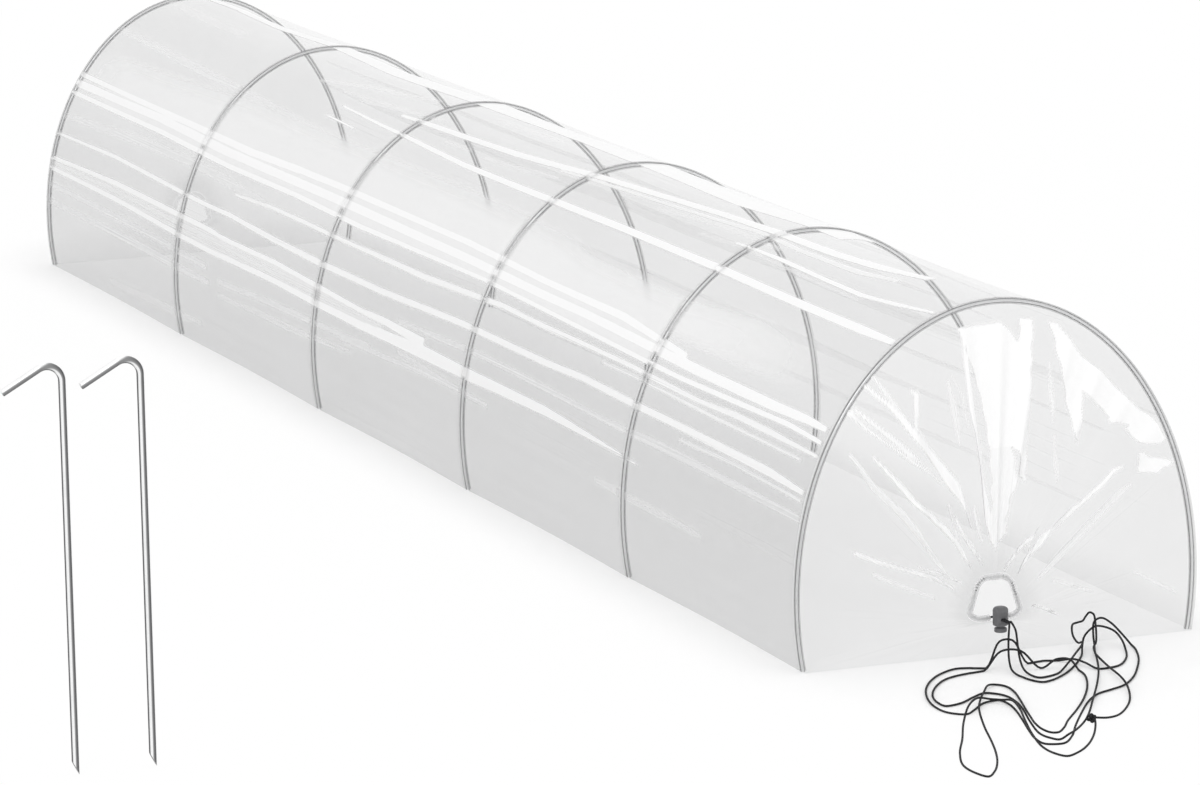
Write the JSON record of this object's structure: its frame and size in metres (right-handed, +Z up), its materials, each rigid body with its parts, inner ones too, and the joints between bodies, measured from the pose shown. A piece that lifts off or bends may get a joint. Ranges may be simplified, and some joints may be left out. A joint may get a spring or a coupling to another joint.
{
  "type": "row cover tunnel",
  "caption": "Long low garden tunnel of clear film on arched wire hoops, drawn shut at both ends, with a drawstring and cord lock at one end and hooked wire pegs beside it.",
  "frame": {"origin": "on the ground, at the bottom centre of the box round the tunnel and the pegs, without the free cord", "axes": "+Z up, +Y along the tunnel from the drawstring end to the plain end, +X to the right seen from the drawstring end"},
  "size_m": [1.454, 3.5509, 0.4528],
  "materials": {
    "film": "clear, glossy",
    "channel": "doubled film, welded",
    "wire": "galvanised",
    "cord": "matt black braid",
    "lock": "satin",
    "spring": "bright"
  },
  "bodies": {
    "tunnel_front": {"hoop_1": "wire", "film_channel_1": "channel", "film_bay_1": "film", "front_end_film": "film", "front_hem": "channel", "drawstring": "cord", "cord_strand_a": "cord", "cord_strand_b": "cord", "cord_knot": "cord"},
    "hoop_frame_2": {"hoop_2": "wire", "film_channel_2": "channel", "film_bay_2": "film"},
    "hoop_frame_3": {"hoop_3": "wire", "film_channel_3": "channel", "film_bay_3": "film"},
    "hoop_frame_4": {"hoop_4": "wire", "film_channel_4": "channel", "film_bay_4": "film"},
    "hoop_frame_5": {"hoop_5": "wire", "film_channel_5": "channel", "film_bay_5": "film"},
    "hoop_frame_6": {"hoop_6": "wire", "film_channel_6": "channel", "back_end_film": "film", "back_hem": "channel"},
    "cord_lock": {"cord_lock_body": "lock", "cord_lock_spring": "spring"},
    "lock_plunger": {"cord_lock_plunger": "lock"},
    "peg_1": {"peg_1": "wire"},
    "peg_2": {"peg_2": "wire"}
  },
  "joints": [
    {"name": "bay_1_fold", "type": "slide", "parent": "tunnel_front", "child": "hoop_frame_2", "axis": [0, -1, 0], "range_m": [0, 0.518], "deforming": ["film_bay_1"]},
    {"name": "bay_2_fold", "type": "slide", "parent": "hoop_frame_2", "child": "hoop_frame_3", "axis": [0, -1, 0], "range_m": [0, 0.548], "deforming": ["film_bay_2"]},
    {"name": "bay_3_fold", "type": "slide", "parent": "hoop_frame_3", "child": "hoop_frame_4", "axis": [0, -1, 0], "range_m": [0, 0.578], "deforming": ["film_bay_3"]},
    {"name": "bay_4_fold", "type": "slide", "parent": "hoop_frame_4", "child": "hoop_frame_5", "axis": [0, -1, 0], "range_m": [0, 0.608], "deforming": ["film_bay_4"]},
    {"name": "bay_5_fold", "type": "slide", "parent": "hoop_frame_5", "child": "hoop_frame_6", "axis": [0, -1, 0], "range_m": [0, 0.638], "deforming": ["film_bay_5"]},
    {"name": "cord_lock_slide", "type": "slide", "parent": "tunnel_front", "child": "cord_lock", "axis": [0, -1, 0], "range_m": [0, 0.012]},
    {"name": "lock_button_press", "type": "slide", "parent": "cord_lock", "child": "lock_plunger", "axis": [0, 0, 1], "range_m": [0, 0.0025], "stiffness_N_per_m": 500, "springref_m": -0.002, "deforming": ["cord_lock_spring"]},
    {"name": "peg_1_lift", "type": "slide", "parent": "tunnel_front", "child": "peg_1", "axis": [0, 0, 1], "range_m": [0, 0.3]},
    {"name": "peg_2_lift", "type": "slide", "parent": "tunnel_front", "child": "peg_2", "axis": [0, 0, 1], "range_m": [0, 0.3]}
  ],
  "couplings": [
    {"joint": "bay_2_fold", "follows": "bay_1_fold", "ratio": 1.0579},
    {"joint": "bay_3_fold", "follows": "bay_1_fold", "ratio": 1.1158},
    {"joint": "bay_4_fold", "follows": "bay_1_fold", "ratio": 1.1737},
    {"joint": "bay_5_fold", "follows": "bay_1_fold", "ratio": 1.2316}
  ]
}
